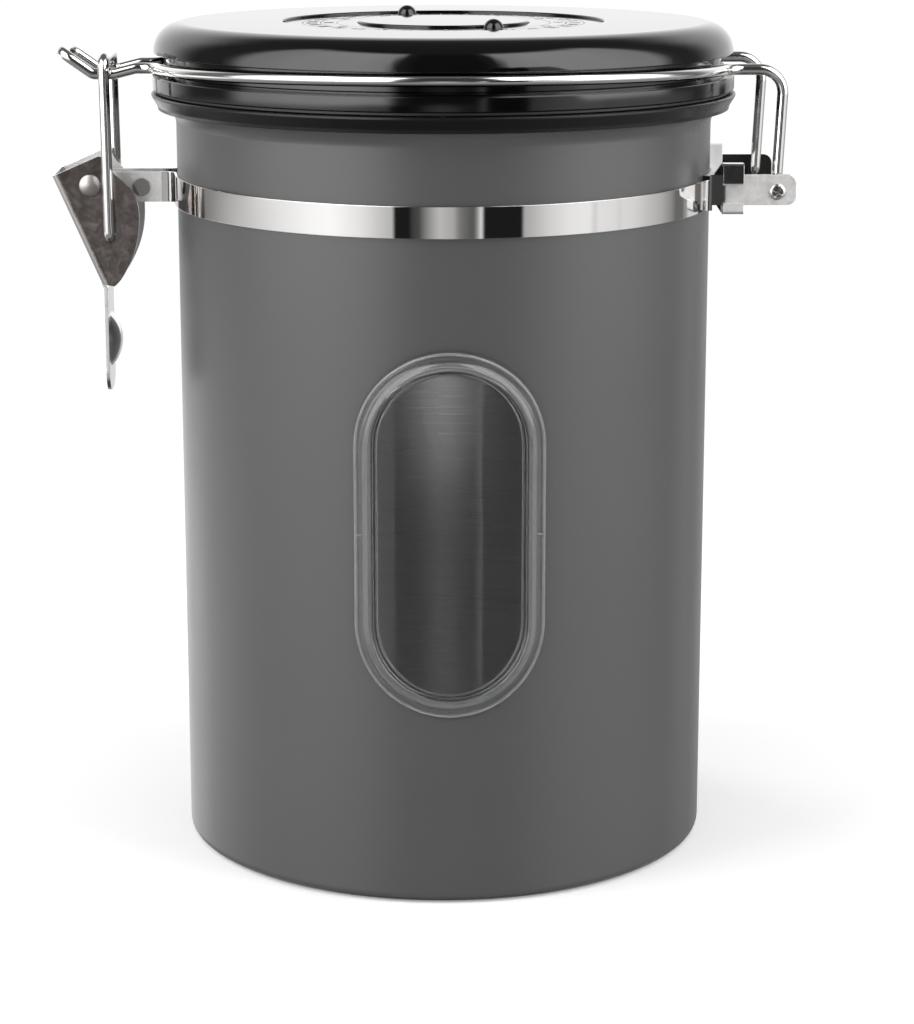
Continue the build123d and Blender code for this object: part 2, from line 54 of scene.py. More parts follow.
# ---------------------------------------------------------------- node helper
class Mat:
    """A Principled material with short calls for procedural nodes."""

    def __init__(self, name, **sockets):
        self.m = bpy.data.materials.new(name)
        self.m.use_nodes = True
        self.nt = self.m.node_tree
        self.p = [n for n in self.nt.nodes if n.type == "BSDF_PRINCIPLED"][0]
        self.tc = self.nt.nodes.new("ShaderNodeTexCoord")
        self.pos = self.tc.outputs["Object"]
        self.xyz = None
        for k, v in sockets.items():
            self.set(k, v)

    NAMES = {"base": "Base Color", "metallic": "Metallic", "rough": "Roughness", "ior": "IOR",
             "spec": "Specular IOR Level", "trans": "Transmission Weight", "coat": "Coat Weight",
             "coat_rough": "Coat Roughness", "sheen": "Sheen Weight", "sheen_rough": "Sheen Roughness",
             "aniso": "Anisotropic", "normal": "Normal", "sss": "Subsurface Weight", "alpha": "Alpha"}

    def set(self, key, value):
        s = self.p.inputs[self.NAMES[key]]
        if isinstance(value, bpy.types.NodeSocket):
            self.nt.links.new(value, s)
        elif isinstance(value, (tuple, list)):
            s.default_value = tuple(value) + ((1.0,) if len(value) == 3 else ())
        else:
            s.default_value = value

    def _in(self, socket, value):
        if isinstance(value, bpy.types.NodeSocket):
            self.nt.links.new(value, socket)
        elif value is not None:
            socket.default_value = value

    def math(self, op, a, b=None, c=None, clamp=False):
        n = self.nt.nodes.new("ShaderNodeMath")
        n.operation = op
        n.use_clamp = clamp
        for i, v in enumerate((a, b, c)):
            self._in(n.inputs[i], v)
        return n.outputs[0]

    def sep(self):
        if self.xyz is None:
            n = self.nt.nodes.new("ShaderNodeSeparateXYZ")
            self.nt.links.new(self.pos, n.inputs[0])
            self.xyz = n.outputs
        return self.xyz

    def combine(self, x, y, z):
        n = self.nt.nodes.new("ShaderNodeCombineXYZ")
        for i, v in enumerate((x, y, z)):
            self._in(n.inputs[i], v)
        return n.outputs[0]

    def radius(self):
        x, y, _ = self.sep()
        return self.math("SQRT", self.math("ADD", self.math("MULTIPLY", x, x), self.math("MULTIPLY", y, y)))

    def cyl(self):
        """(arc on the body radius, radius, height) of a point."""
        x, y, z = self.sep()
        az = self.math("ARCTAN2", x, self.math("MULTIPLY", y, -1.0))
        return self.combine(self.math("MULTIPLY", az, R_BODY), self.radius(), z)

    def scaled(self, vec, sx, sy, sz):
        n = self.nt.nodes.new("ShaderNodeMapping")
        n.vector_type = "POINT"
        self.nt.links.new(vec, n.inputs["Vector"])
        n.inputs["Scale"].default_value = (sx, sy, sz)
        return n.outputs[0]

    def noise(self, scale, detail=2.0, rough=0.5, vec=None, distortion=0.0):
        n = self.nt.nodes.new("ShaderNodeTexNoise")
        n.inputs["Scale"].default_value = scale
        n.inputs["Detail"].default_value = detail
        n.inputs["Roughness"].default_value = rough
        n.inputs["Distortion"].default_value = distortion
        self.nt.links.new(vec or self.pos, n.inputs["Vector"])
        return n.outputs[0]

    def voronoi(self, scale, vec=None, feature="F1"):
        n = self.nt.nodes.new("ShaderNodeTexVoronoi")
        n.feature = feature
        n.inputs["Scale"].default_value = scale
        self.nt.links.new(vec or self.pos, n.inputs["Vector"])
        return n.outputs["Distance"]

    def remap(self, fac, a0, a1, b0, b1, smooth=False):
        n = self.nt.nodes.new("ShaderNodeMapRange")
        if smooth:
            n.interpolation_type = "SMOOTHSTEP"
        self._in(n.inputs["Value"], fac)
        n.inputs["From Min"].default_value = a0
        n.inputs["From Max"].default_value = a1
        n.inputs["To Min"].default_value = b0
        n.inputs["To Max"].default_value = b1
        return n.outputs[0]

    def mix(self, fac, a, b):
        """Mix of two colours."""
        n = self.nt.nodes.new("ShaderNodeMix")
        n.data_type = "RGBA"
        self._in(n.inputs[0], fac)
        for s, v in ((n.inputs[6], a), (n.inputs[7], b)):
            if isinstance(v, bpy.types.NodeSocket):
                self.nt.links.new(v, s)
            else:
                s.default_value = tuple(v) + (1.0,)
        return n.outputs[2]

    def lerp(self, fac, a, b):
        n = self.nt.nodes.new("ShaderNodeMix")
        n.data_type = "FLOAT"
        self._in(n.inputs[0], fac)
        self._in(n.inputs[2], a)
        self._in(n.inputs[3], b)
        return n.outputs[0]

    def bevel(self, radius, samples=4):
        n = self.nt.nodes.new("ShaderNodeBevel")
        n.samples = samples
        n.inputs["Radius"].default_value = radius
        return n.outputs[0]

    def bump(self, height, distance, strength=1.0, normal=None):
        n = self.nt.nodes.new("ShaderNodeBump")
        n.inputs["Strength"].default_value = strength
        n.inputs["Distance"].default_value = distance
        self._in(n.inputs["Height"], height)
        if normal is not None:
            self.nt.links.new(normal, n.inputs["Normal"])
        return n.outputs[0]


def assign(material, *names):
    for n in names:
        o = NODES[n]
        for s in o.material_slots:
            s.material = material


# ---------------------------------------------------------------- materials
def coat_material():
    """Grey powder coat outside; bare, turned steel inside."""
    k = Mat("can_coat_grey")
    x, y, z = k.sep()
    r = k.radius()
    inside = k.math("MULTIPLY", k.math("LESS_THAN", r, 0.05866), k.math("GREATER_THAN", z, 0.0004))
    # coat: fine grain, slow cloudiness and faint orange peel
    grain = k.noise(2600, 3, 0.6)
    cloud = k.noise(26, 3, 0.55)
    peel = k.noise(520, 2, 0.5)
    c1 = k.mix(grain, (0.062, 0.062, 0.063), (0.080, 0.080, 0.081))
    c2 = k.mix(cloud, (0.064, 0.064, 0.066), (0.078, 0.078, 0.078))
    coat_c = k.mix(0.5, c1, c2)
    coat_r = k.math("ADD", k.remap(cloud, 0.3, 0.7, 0.33, 0.38), k.remap(grain, 0.2, 0.8, -0.025, 0.025))
    # the wall's lengthwise weld, at the back, shows as a low ridge under the coat
    seam = k.math("MULTIPLY", k.remap(k.math("ABSOLUTE", x), 0.0003, 0.0015, 1.0, 0.0, smooth=True),
                  k.math("GREATER_THAN", y, 0.05))
    # steel: circumferential brush lines, in a tone set darker than bare steel as painted shade inside the can
    cyl = k.cyl()
    lines = k.noise(1.0, 3, 0.6, vec=k.scaled(cyl, 7, 40, 7500))
    steel_c = k.mix(lines, (0.34, 0.335, 0.33), (0.50, 0.49, 0.48))
    steel_r = k.remap(lines, 0.2, 0.8, 0.24, 0.38)
    k.set("base", k.mix(inside, coat_c, steel_c))
    k.set("metallic", inside)
    k.set("rough", k.lerp(inside, coat_r, steel_r))
    h_coat = k.math("ADD", k.math("MULTIPLY", grain, 0.45), k.math("MULTIPLY", peel, 0.9))
    h_coat = k.math("ADD", h_coat, k.math("MULTIPLY", seam, 6.0))
    h = k.lerp(inside, h_coat, k.math("MULTIPLY", lines, 0.4))
    k.set("normal", k.bump(h, 0.000012, 0.8, normal=k.bevel(0.00025)))
    return k.m


def metal(name, tint, r0, r1, stretch=None, lines=0.35, bevel=0.00018, bump=0.0000015, cloud=30, spread=0.05):
    """Polished sheet or wire: fine scratches along one direction, slow haze, soft edges."""
    k = Mat(name, metallic=1.0)
    vec = k.cyl() if stretch == "ring" else k.pos
    sc = {"ring": (40, 600, 9000), "z": (9000, 9000, 90), "x": (60, 7000, 7000), None: (2500, 2500, 2500)}[stretch]
    fine = k.noise(1.0, 4, 0.65, vec=k.scaled(vec, *sc))
    haze = k.noise(cloud, 3, 0.6)
    dark = tuple(c * (1 - spread) for c in tint)
    lite = tuple(min(1, c * (1 + spread)) for c in tint)
    k.set("base", k.mix(k.lerp(lines, haze, fine), dark, lite))
    k.set("rough", k.remap(k.lerp(lines, haze, fine), 0.25, 0.75, r0, r1))
    k.set("normal", k.bump(fine, bump, 1.0, normal=k.bevel(bevel)))
    return k.m


def band_material(name, ear_rough, ear_base, ear_facing_shade):
    """Polished band, drawn along its length; its folded ears are left as rolled."""
    k = Mat(name, metallic=1.0)
    x, y, z = k.sep()
    fine = k.noise(1.0, 4, 0.65, vec=k.scaled(k.cyl(), 25, 600, 9000))
    haze = k.noise(30, 3, 0.6)
    rolled = k.noise(900, 4, 0.65)
    ear = k.math("MAXIMUM", k.remap(x, -0.0626, -0.0620, 1.0, 0.0), k.remap(x, 0.0602, 0.0608, 0.0, 1.0))
    wear = k.lerp(0.5, haze, fine)
    bright = k.mix(wear, (0.635, 0.625, 0.615), (0.675, 0.665, 0.655))
    # painted shade: from x = 57.7 mm on, next to the hinge saddle, the polished band is drawn dark
    bright = k.mix(k.remap(x, 0.0573, 0.0577, 0.0, 1.0), bright, k.mix(haze, (0.12, 0.12, 0.12), (0.26, 0.255, 0.25)))
    flat = k.mix(k.remap(rolled, 0.3, 0.7, 0.0, 1.0), tuple(0.84 * c for c in ear_base), ear_base)
    # painted shade: the faces that the two hinge ears turn to each other are drawn darker
    facing_shade = k.math("MULTIPLY", k.math("GREATER_THAN", x, 0.0606),
                    k.math("LESS_THAN", k.math("ABSOLUTE", y), 0.0202))
    flat = k.mix(facing_shade, flat, k.mix(rolled, tuple(0.7 * c for c in ear_facing_shade), ear_facing_shade))
    k.set("base", k.mix(ear, bright, flat))
    k.set("metallic", k.remap(x, -0.0626, -0.0620, 0.62, 1.0))
    k.set("rough", k.lerp(ear, k.remap(wear, 0.25, 0.75, 0.02, 0.045),
                          k.remap(rolled, 0.25, 0.75, ear_rough * 0.85, ear_rough * 1.15)))
    k.set("normal", k.bump(fine, 0.000001, 1.0, normal=k.bevel(0.00018)))
    return k.m


def lever_material():
    """Pressed steel: bright on the folds and the face, duller and mottled on the cheeks."""
    k = Mat("lever_pressed_steel", metallic=1.0)
    n = k.nt.nodes.new("ShaderNodeSeparateXYZ")
    k.nt.links.new(k.tc.outputs["Normal"], n.inputs[0])
    side = k.remap(k.math("ABSOLUTE", n.outputs[1]), 0.86, 0.97, 0.0, 1.0, smooth=True)
    inner = k.math("MULTIPLY", side, k.math("LESS_THAN", k.math("ABSOLUTE", k.sep()[1]), 0.0081))
    side = k.math("SUBTRACT", side, inner)
    mottle = k.noise(420, 5, 0.7, distortion=0.7)
    fine = k.noise(1.0, 4, 0.65, vec=k.scaled(k.pos, 9000, 9000, 90))
    bright = k.mix(fine, (0.70, 0.69, 0.68), (0.79, 0.78, 0.77))
    dull = k.mix(k.remap(mottle, 0.3, 0.7, 0.0, 1.0), (0.13, 0.108, 0.102), (0.37, 0.33, 0.315))
    k.set("base", k.mix(inner, k.mix(side, bright, dull), (0.80, 0.79, 0.78)))
    polish = k.lerp(side, k.remap(fine, 0.25, 0.75, 0.09, 0.15), k.remap(mottle, 0.3, 0.7, 0.15, 0.27))
    k.set("rough", k.lerp(inner, polish, k.remap(fine, 0.25, 0.75, 0.42, 0.5)))
    k.set("normal", k.bump(fine, 0.0000015, 1.0, normal=k.bevel(0.00018)))
    return k.m


def saddle_material():
    """Folded bracket: polished hook over the ear, the rest as rolled; painted shade at the front next to the band,
    painted light on the rear part.
    """
    k = Mat("saddle_folded", metallic=1.0)
    x, y, z = k.sep()
    front = k.math("LESS_THAN", y, -0.0186)
    rear = k.remap(y, 0.0181, 0.0187, 0.0, 1.0)
    hook = k.math("MULTIPLY", k.remap(z, 0.1496, 0.1500, 0.0, 1.0), front)
    # painted shade: the front of the saddle close to the band, x below 59.8 mm, is drawn dark and polished
    root_shade = k.math("MULTIPLY", k.math("LESS_THAN", x, 0.0598), front)
    hook = k.math("MAXIMUM", hook, root_shade)
    rolled = k.noise(900, 4, 0.65)
    haze = k.noise(240, 4, 0.6)
    bright = k.mix(k.remap(haze, 0.3, 0.7, 0.0, 1.0), (0.34, 0.335, 0.33), (0.60, 0.59, 0.58))
    bright = k.mix(root_shade, bright, k.mix(haze, (0.09, 0.09, 0.09), (0.20, 0.20, 0.20)))
    flat = k.mix(k.remap(rolled, 0.3, 0.7, 0.0, 1.0), (0.78, 0.77, 0.765), (0.87, 0.865, 0.86))
    # painted light: the rear part is drawn near white and less metallic, a brighter lit copy of the rolled finish
    flat = k.mix(rear, flat, (0.97, 0.97, 0.97))
    k.set("base", k.mix(hook, flat, bright))
    k.set("metallic", k.lerp(rear, 1.0, 0.8))
    k.set("rough", k.lerp(hook, k.remap(rolled, 0.25, 0.75, 0.42, 0.54), k.remap(haze, 0.25, 0.75, 0.05, 0.10)))
    # the hook's face leans back a little
    lean = k.math("MULTIPLY", k.math("SUBTRACT", z, 0.15), -0.11)
    nrm = k.bump(k.math("MULTIPLY", lean, hook), 1.0, 1.0, normal=k.bevel(0.0002))
    k.set("normal", k.bump(rolled, 0.000001, 1.0, normal=nrm))
    return k.m


def pin_material():
    """Peened pin end: bright ring around a dull, struck middle."""
    k = Mat("pin_peened", metallic=1.0)
    x, y, z = k.sep()
    dx, dz = k.math("SUBTRACT", x, 0.0718), k.math("SUBTRACT", z, 0.148)
    r = k.math("SQRT", k.math("ADD", k.math("MULTIPLY", dx, dx), k.math("MULTIPLY", dz, dz)))
    core = k.remap(r, 0.00112, 0.00128, 1.0, 0.0)
    grain = k.noise(1500, 4, 0.6)
    k.set("base", k.mix(core, k.mix(grain, (0.60, 0.59, 0.58), (0.72, 0.71, 0.70)),
                        k.mix(grain, (0.09, 0.085, 0.08), (0.30, 0.29, 0.28))))
    k.set("rough", k.lerp(core, k.remap(grain, 0.2, 0.8, 0.16, 0.28), k.remap(grain, 0.2, 0.8, 0.2, 0.38)))
    k.set("normal", k.bump(grain, 0.00001, 1.0))
    return k.m


def plastic(name, base, r0, r1, cloud=40, wave=0.0, wave_scale=24, grain=0.0, grain_scale=1800, bevel=0.0002,
            spread=0.25, crown=None, spec=0.5):
    """Moulded plastic: haze in the gloss, slight long waves, optional texture grain and crowned rim."""
    k = Mat(name, spec=spec)
    haze = k.noise(cloud, 4, 0.6)
    fine = k.noise(grain_scale, 2, 0.5)
    lo = tuple(c * (1 - spread) for c in base)
    hi = tuple(c * (1 + spread) for c in base)
    k.set("base", k.mix(haze, lo, hi))
    k.set("rough", k.math("ADD", k.remap(haze, 0.3, 0.7, r0, r1), k.remap(fine, 0.2, 0.8, -0.01, 0.01)))
    nrm = k.bevel(bevel)
    if wave:
        nrm = k.bump(k.noise(wave_scale, 1, 0.4), wave, 1.0, normal=nrm)
    if crown:
        z_mid, half, rise = crown
        q = k.remap(k.sep()[2], z_mid - half, z_mid + half, -1.0, 1.0)
        nrm = k.bump(k.math("MULTIPLY", k.math("MULTIPLY", q, q), -1.0), rise, 1.0, normal=nrm)
    k.set("normal", k.bump(fine, grain or 0.0000004, 1.0, normal=nrm))
    return k.m


def stadium_distance(k, width, height):
    """Signed distance in metres from an upright stadium on the wall, below zero inside."""
    x, y, z = k.sep()
    u = k.math("MULTIPLY", k.math("ARCTAN2", x, k.math("MULTIPLY", y, -1.0)), R_BODY)
    v = k.math("SUBTRACT", k.math("ABSOLUTE", k.math("SUBTRACT", z, Z_WIN)), (height - width) / 2)
    v = k.math("MAXIMUM", v, 0.0)
    d = k.math("SQRT", k.math("ADD", k.math("MULTIPLY", u, u), k.math("MULTIPLY", v, v)))
    return k.math("SUBTRACT", d, width / 2)


def window_material():
    """Clear moulding: polished sheet in the middle, lightly frosted flange."""
    k = Mat("window_clear_moulding", ior=1.49)
    d = stadium_distance(k, WIN_IN_W, WIN_IN_H)
    flange = k.remap(d, -0.00002, 0.0002, 0.0, 1.0)
    # painted highlight: the outer bead and, less, the raised inner half of the flange are drawn as cloudier plastic so
    # that they catch light
    bead = k.remap(k.math("ABSOLUTE", k.math("SUBTRACT", d, 0.00345)), 0.00014, 0.00030, 1.0, 0.0)
    inner = k.math("MULTIPLY", k.remap(d, 0.0015, 0.0020, 1.0, 0.0), flange)
    # painted reflection: a dark line just inside the raised rim stands in for the rim wall's dark total reflection
    wall = k.math("MULTIPLY", k.remap(d, -0.00046, -0.00038, 0.0, 1.0), k.remap(d, -0.00008, 0.0, 1.0, 0.0))
    haze = k.noise(90, 3, 0.55)
    fine = k.noise(2200, 2, 0.5)
    tint = k.mix(bead, k.mix(flange, (0.86, 0.865, 0.87), (0.84, 0.845, 0.85)), (0.74, 0.745, 0.75))
    k.set("base", k.mix(wall, tint, (0.22, 0.22, 0.23)))
    bead_highlight = k.math("ADD", k.math("MULTIPLY", bead, 0.15), k.math("MULTIPLY", inner, 0.05))
    k.set("trans", k.math("SUBTRACT", 1.0, bead_highlight))
    k.set("rough", k.lerp(flange, k.remap(haze, 0.3, 0.7, 0.012, 0.035), k.remap(haze, 0.3, 0.7, 0.10, 0.20)))
    nrm = k.bump(k.noise(60, 1, 0.4), 0.00003, 1.0, normal=k.bevel(0.00022))
    k.set("normal", k.bump(fine, 0.000001, 1.0, normal=nrm))
    return k.m


def rubber(name, base, rough=0.6, trans=0.0):
    k = Mat(name)
    grain = k.noise(3200, 3, 0.6)
    cloud = k.noise(60, 3, 0.5)
    lo = tuple(c * 0.8 for c in base)
    hi = tuple(min(1.0, c * 1.2) for c in base)
    k.set("base", k.mix(k.lerp(0.4, cloud, grain), lo, hi))
    k.set("rough", k.remap(grain, 0.2, 0.8, rough - 0.08, rough + 0.06))
    k.set("normal", k.bump(grain, 0.000006, 1.0, normal=k.bevel(0.0002)))
    return k.m


def felt():
    k = Mat("filter_felt_fibres", sheen=0.4, sheen_rough=0.5)
    f1 = k.noise(2600, 5, 0.7, distortion=1.6)
    f2 = k.voronoi(1500, feature="DISTANCE_TO_EDGE")
    k.set("base", k.mix(f1, (0.42, 0.40, 0.35), (0.72, 0.70, 0.64)))
    k.set("rough", k.remap(f1, 0.2, 0.8, 0.8, 0.95))
    k.set("normal", k.bump(k.math("ADD", f1, f2), 0.00012, 0.8))
    return k.m


M_COAT = coat_material()
# the last colour of each band is painted shade on the faces its hinge ears turn to each other
M_BAND = band_material("band_front_polished", 0.48, (0.90, 0.89, 0.88), (0.30, 0.295, 0.29))
M_BAND_REAR = band_material("band_rear_polished", 0.40, (0.88, 0.87, 0.86), (0.045, 0.045, 0.045))
M_SADDLE = saddle_material()
M_WIRE = metal("wire_drawn", (0.70, 0.69, 0.68), 0.06, 0.11, None, lines=0.5)
M_LEVER = lever_material()
M_RIVET = metal("rivet_satin", (0.36, 0.34, 0.33), 0.34, 0.44, None, spread=0.14, cloud=400)
M_RIVET_DULL = metal("rivet_dull", (0.40, 0.375, 0.365), 0.14, 0.26, None, spread=0.14, cloud=500)
M_PIN = pin_material()
M_SCREW = metal("screw_zinc", (0.58, 0.58, 0.57), 0.20, 0.34, None, spread=0.12)
M_COVER = plastic("lid_cover_gloss", (0.0024, 0.0024, 0.0026), 0.025, 0.06, wave=0.00006, wave_scale=14)
M_BASE = plastic("lid_base_satin", (0.0014, 0.0014, 0.0015), 0.08, 0.13, wave=0.00003, wave_scale=20,
                 crown=(0.17075, 0.0014, 0.00003))
M_COLLAR = plastic("collar_satin", (0.0045, 0.0045, 0.0048), 0.22, 0.30, grain=0.000002, spec=0.34)
M_CAP = plastic("valve_cap_gloss", (0.005, 0.005, 0.005), 0.03, 0.07, wave=0.00003)
M_DIAL = plastic("dial_ring_gloss", (0.009, 0.009, 0.0095), 0.05, 0.10)
M_SLIDER = plastic("slider_gloss_black", (0.005, 0.005, 0.0052), 0.03, 0.07)
M_INNER = plastic("inner_moulding", (0.014, 0.014, 0.015), 0.34, 0.46, grain=0.000004)
M_RETAINER = plastic("retainer_moulding", (0.02, 0.02, 0.021), 0.4, 0.5, grain=0.000004)
M_WINDOW = window_material()
M_SEAL = rubber("window_seal_grey", (0.050, 0.050, 0.051), 0.55)
M_MARK = plastic("dial_numbers_print", (0.30, 0.30, 0.295), 0.30, 0.42, spread=0.08)
M_GASKET = rubber("lid_gasket_rubber", (0.012, 0.012, 0.012), 0.5)
M_VALVE = rubber("valve_silicone", (0.46, 0.46, 0.44), 0.42)
M_FELT = felt()

assign(M_COAT, "can_body")
assign(M_BAND, "band_front")
assign(M_BAND_REAR, "band_rear")
assign(M_SADDLE, "hinge_saddle")
assign(M_WIRE, "lid_wire", "latch_bail")
assign(M_LEVER, "latch_lever")
assign(M_RIVET, "lever_rivet", "lever_bushes")
assign(M_RIVET_DULL, "band_rivet")
assign(M_SCREW, "lid_screws")
assign(M_COVER, "lid_cover")
assign(M_BASE, "lid_base")
assign(M_COLLAR, "rim_collar")
assign(M_CAP, "valve_cap")
assign(M_DIAL, "day_ring", "month_ring")
assign(M_SLIDER, "day_slider", "month_slider")
assign(M_INNER, "valve_seat", "valve_cage")
assign(M_RETAINER, "window_retainer")
assign(M_WINDOW, "window_pane")
assign(M_SEAL, "window_seal")
assign(M_GASKET, "lid_gasket")
assign(M_VALVE, "valve_disc")
assign(M_FELT, "valve_filter")


# ---------------------------------------------------------------- pieces made here
def mesh_object(name, bm, material=None, sharp=None):
    me = bpy.data.meshes.new(name)
    bm.to_mesh(me)
    bm.free()
    if sharp is not None:
        for f in me.polygons:
            f.use_smooth = True
        me.set_sharp_from_angle(angle=math.radians(sharp))
    if material:
        me.materials.append(material)
    o = bpy.data.objects.new(name, me)
    scene.collection.objects.link(o)
    return o


def bridge(bm, rings):
    """Quads between neighbouring closed rings of vertices."""
    for a, b in zip(rings, rings[1:]):
        n = len(a)
        for i in range(n):
            j = (i + 1) % n
            bm.faces.new((a[i], a[j], b[j], b[i]))


def stadium_ring(half_w, straight, side=14, cap=28):
    """Points (u, v) of an upright stadium, counter-clockwise."""
    pts = [(half_w, -straight + 2 * straight * i / side) for i in range(side)]
    pts += [(half_w * math.cos(PI * i / cap), straight + half_w * math.sin(PI * i / cap)) for i in range(cap)]
    pts += [(-half_w, straight - 2 * straight * i / side) for i in range(side)]
    pts += [(-half_w * math.cos(PI * i / cap), -straight - half_w * math.sin(PI * i / cap)) for i in range(cap)]
    return pts


def on_wall(u, v, r):
    """Point at arc u (mm), height v (mm) from the window's middle, radius r (mm)."""
    a = u / (R_BODY * 1000)
    return (r * math.sin(a) / 1000, -r * math.cos(a) / 1000, Z_WIN + v / 1000)


def make_window():
    """Clear moulding: rounded flange, raised rim, clear sheet and the plug through the wall."""
    straight = 18.85
    front = [(0.0, 59.70)] + [(1.5 * i, 59.70) for i in range(1, 10)] + [
        (14.6, 59.70), (15.5, 59.70), (15.95, 59.71), (16.18, 59.77), (16.27, 59.92), (16.33, 60.30), (16.40, 60.55),
        (16.52, 60.70), (16.70, 60.76), (17.10, 60.74), (17.60, 60.60), (17.95, 60.42), (18.15, 60.25), (18.35, 60.12),
        (18.70, 60.05), (19.20, 60.04), (19.42, 60.10), (19.58, 60.20), (19.75, 60.25), (19.92, 60.22), (20.06, 60.10),
        (20.13, 59.95), (20.15, 59.75), (20.15, 59.50), (20.10, 59.42)]
    back = [(18.5, 59.42), (17.0, 59.42), (16.90, 59.32), (16.90, 58.2), (16.90, 57.10), (16.80, 57.0), (15.95, 57.0),
            (15.85, 57.1), (15.85, 58.50), (15.75, 58.60)] + [(1.5 * i, 58.60) for i in range(10, 0, -1)] + [
        (0.0, 58.60)]
    bm = bmesh.new()
    rings = [[bm.verts.new(on_wall(u, v, r)) for u, v in stadium_ring(a, straight)] for a, r in front + back]
    bridge(bm, rings)
    # mould marks: a short low bar on each side of the flange
    for s in (-1, 1):
        marks = []
        for hu, hv, r in ((0.55, 0.15, 59.95), (0.55, 0.15, 60.16), (0.50, 0.09, 60.21), (0.3, 0.02, 60.22)):
            loop = [(hu, -hv), (hu + hv, 0), (hu, hv), (0, hv), (-hu, hv), (-hu - hv, 0), (-hu, -hv), (0, -hv)]
            marks.append([bm.verts.new(on_wall(s * 18.95 + u, v + 0.1, r)) for u, v in loop])
        bridge(bm, marks)
        bm.faces.new(marks[-1])
        bm.faces.new(list(reversed(marks[0])))
    bmesh.ops.remove_doubles(bm, verts=bm.verts, dist=0.000002)
    bmesh.ops.recalc_face_normals(bm, faces=bm.faces)
    o = mesh_object("window_moulding", bm, M_WINDOW, sharp=48)
    o.visible_shadow = False
    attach(o, "canister")
    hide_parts("window_pane")
    return o


def make_pin_heads():
    """Peened ends of the lid wire, outside the hinge ears: flat domes with a crossed chisel cut."""
    bm = bmesh.new()
    x0, z0, y_ear = 71.8, 148.0, 20.60
    seg = 72
    radii = [0.08, 0.2, 0.32, 0.44, 0.56, 0.68, 0.8, 0.92, 1.04, 1.16, 1.28, 1.4, 1.5, 1.58, 1.64, 1.68, 1.70]
    for s in (-1, 1):
        rings = []
        for r in radii:
            ring = []
            for i in range(seg):
                t = 2 * PI * i / seg
                h = 0.72 - 0.30 * (r / 1.70) ** 4 - (0.06 if r > 1.66 else 0.0)
                ux, uz = r * math.cos(t + 0.5), r * math.sin(t + 0.5)
                d = min(abs(ux), abs(uz))
                cut = max(0.0, 1 - (d / 0.24) ** 2) * max(0.0, min(1.0, (1.30 - r) / 0.2))
                ring.append(bm.verts.new(((x0 + r * math.cos(t)) / 1000, s * (y_ear + h - 0.30 * cut) / 1000,
                                          (z0 + r * math.sin(t)) / 1000)))
            rings.append(ring)
        back = [bm.verts.new(((x0 + q * math.cos(2 * PI * i / seg)) / 1000, s * y_ear / 1000,
                              (z0 + q * math.sin(2 * PI * i / seg)) / 1000)) for q in (1.66,) for i in range(seg)]
        rings.append(back)
        bridge(bm, rings)
        bm.faces.new(rings[0])
        bm.faces.new(list(reversed(back)))
    bmesh.ops.recalc_face_normals(bm, faces=bm.faces)
    o = mesh_object("wire_peened_ends", bm, M_PIN, sharp=55)
    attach(o, "lid")
    return o


def make_numbers(name, count, radius, height):
    """Printed numbers of a dial ring, tops outwards, clockwise seen from above."""
    bm = bmesh.new()
    z_ring = 0.1830
    for i in range(1, count + 1):
        cu = bpy.data.curves.new("digits", "FONT")
        cu.body = str(i)
        cu.align_x = "CENTER"
        cu.size = 1.0
        cu.resolution_u = 3
        cu.offset = 0.012
        cu.extrude = 0.01
        ob = bpy.data.objects.new("digits", cu)
        scene.collection.objects.link(ob)
        dg = bpy.context.evaluated_depsgraph_get()
        me = bpy.data.meshes.new_from_object(ob.evaluated_get(dg))
        k = height / 0.70
        a = 2 * PI * (i - 1) / count
        up = Vector((math.sin(a), math.cos(a), 0))
        right = Vector((math.cos(a), -math.sin(a), 0))
        for v in me.vertices:
            p = right * (v.co.x * k * 0.92) + up * (radius - height / 2 + v.co.y * k)
            p.z = z_ring - 0.00002 + (0.00006 if v.co.z > 0 else 0.0)
            v.co = p
        bm.from_mesh(me)
        bpy.data.objects.remove(ob)
        bpy.data.curves.remove(cu)
        bpy.data.meshes.remove(me)
    bmesh.ops.remove_doubles(bm, verts=bm.verts, dist=0.0000005)
    bmesh.ops.recalc_face_normals(bm, faces=bm.faces)
    o = mesh_object(name, bm, M_MARK)
    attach(o, "lid")
    return o


make_window()
make_pin_heads()
make_numbers("day_numbers", 31, 0.0290, 0.0023)
make_numbers("month_numbers", 12, 0.02525, 0.0021)


# ---------------------------------------------------------------- floor

